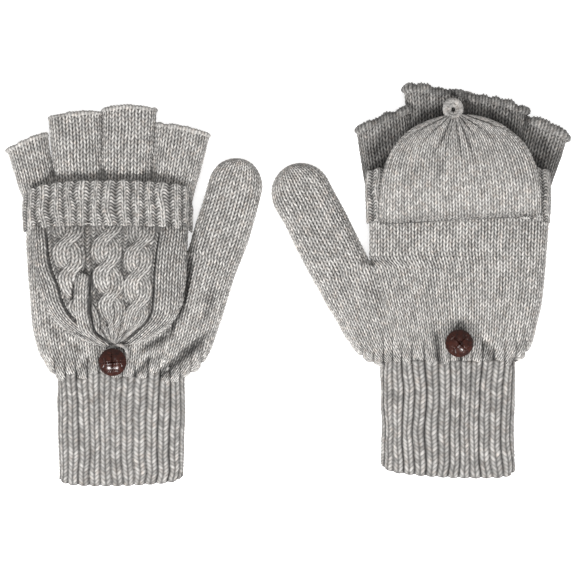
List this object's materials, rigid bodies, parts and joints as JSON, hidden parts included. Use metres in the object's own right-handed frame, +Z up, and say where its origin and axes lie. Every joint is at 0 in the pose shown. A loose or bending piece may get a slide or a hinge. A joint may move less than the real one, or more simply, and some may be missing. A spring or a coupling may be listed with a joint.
{
  "type": "convertible flip-top mittens",
  "caption": "Pair of knitted fingerless mittens, each with a cabled hood that flips over the finger stubs and loops onto a button.",
  "frame": {"origin": "on the surface that the mittens lie on, in the middle of the pair's bounding box", "axes": "+X across the pair from the left mitten to the right one, +Y from the cuffs to the fingertips, +Z up from the surface, out of the backs of the hands"},
  "size_m": [0.3026, 0.2134, 0.0232],
  "materials": {
    "plain_knit": "heather grey stocking stitch, soft and slightly fuzzy",
    "ribbed_knit": "heather grey rib stitch",
    "cable_knit": "heather grey cable stitch on a purl ground",
    "seam_yarn": "row of picked-up stitches",
    "loop_yarn": "crocheted yarn",
    "button": "glossy dark brown, moulded as plaited leather",
    "thread": "grey sewing yarn"
  },
  "bodies": {
    "left_mitten": {"left_cuff": "ribbed_knit", "left_hand_heel": "plain_knit", "left_hand_knuckles": "plain_knit", "left_thumb": "plain_knit", "left_index_stub": "plain_knit", "left_middle_stub": "plain_knit", "left_ring_stub": "plain_knit", "left_little_stub": "plain_knit", "left_rib_band": "ribbed_knit", "left_hood_seam": "seam_yarn", "left_button_thread": "thread"},
    "left_hood": {"left_hood_back": "plain_knit", "left_hood_cable": "cable_knit", "left_loop": "loop_yarn"},
    "left_button": {"left_button": "button"},
    "right_mitten": {"right_cuff": "ribbed_knit", "right_hand_heel": "plain_knit", "right_hand_knuckles": "plain_knit", "right_thumb": "plain_knit", "right_index_stub": "plain_knit", "right_middle_stub": "plain_knit", "right_ring_stub": "plain_knit", "right_little_stub": "plain_knit", "right_rib_band": "ribbed_knit", "right_hood_seam": "seam_yarn", "right_button_thread": "thread"},
    "right_hood": {"right_hood_back": "plain_knit", "right_hood_cable": "cable_knit", "right_loop": "loop_yarn"},
    "right_button": {"right_button": "button"}
  },
  "joints": [
    {"name": "left_hood_flip", "type": "hinge", "parent": "left_mitten", "child": "left_hood", "pos_m": [-0.0953, 0.02975, 0.0178], "axis": [-1, 0, 0], "range_deg": [0, 150], "deforming": ["left_loop"]},
    {"name": "left_button_tilt", "type": "hinge", "parent": "left_mitten", "child": "left_button", "pos_m": [-0.0938, -0.03965, 0.0171], "axis": [1, 0, 0], "range_deg": [-10, 10]},
    {"name": "pair_slide", "type": "slide", "parent": "left_mitten", "child": "right_mitten", "axis": [1, 0, 0], "range_m": [0, 0.08]},
    {"name": "right_hood_flip", "type": "hinge", "parent": "right_mitten", "child": "right_hood", "pos_m": [0.0921, 0.03675, 0.0178], "axis": [1, 0, 0], "range_deg": [0, 165], "deforming": ["right_loop"]},
    {"name": "right_button_tilt", "type": "hinge", "parent": "right_mitten", "child": "right_button", "pos_m": [0.0912, -0.02955, 0.0171], "axis": [1, 0, 0], "range_deg": [-10, 10]}
  ]
}
